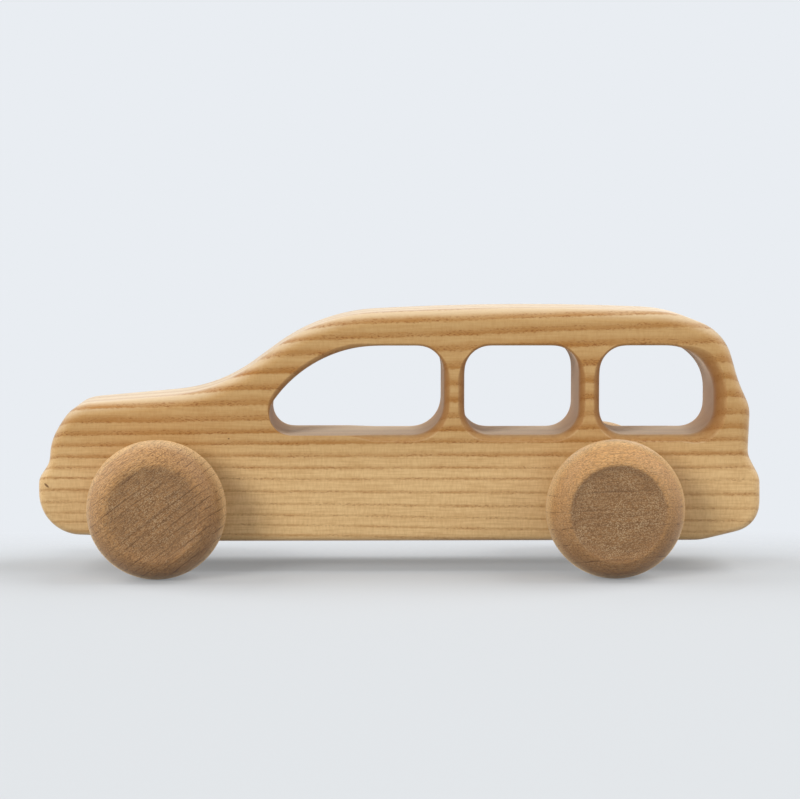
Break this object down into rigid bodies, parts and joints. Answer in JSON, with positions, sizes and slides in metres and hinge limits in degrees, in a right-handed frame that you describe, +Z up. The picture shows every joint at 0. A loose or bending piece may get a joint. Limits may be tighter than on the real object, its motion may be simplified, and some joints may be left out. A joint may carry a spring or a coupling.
{
  "type": "wooden toy bus",
  "caption": "Wooden toy bus sawn from a thick board, with a long nose, open side windows and chunky dished wheels glued to dowel axles that roll in the board.",
  "frame": {"origin": "on the floor under the middle of the toy's length and width", "axes": "X along the toy from its nose (-X) to its tail (+X), Y across the board with the toy's left side at -Y, Z up"},
  "size_m": [0.2, 0.073, 0.0731],
  "materials": {
    "ash_board": "sanded and lightly oiled, straight open grain along the toy",
    "alder_wheel": "turned and sanded, fine flecked grain across the wheel",
    "birch_dowel": "bare sanded dowel"
  },
  "bodies": {
    "body": {"body": "ash_board"},
    "front_wheelset": {"front_axle": "birch_dowel", "front_left_wheel": "alder_wheel", "front_right_wheel": "alder_wheel"},
    "rear_wheelset": {"rear_axle": "birch_dowel", "rear_left_wheel": "alder_wheel", "rear_right_wheel": "alder_wheel"}
  },
  "joints": [
    {"name": "front_roll", "type": "hinge", "parent": "body", "child": "front_wheelset", "pos_m": [-0.0664, 0, 0.019], "axis": [0, 1, 0], "continuous": true},
    {"name": "rear_roll", "type": "hinge", "parent": "body", "child": "rear_wheelset", "pos_m": [0.0584, 0, 0.019], "axis": [0, 1, 0], "continuous": true}
  ]
}
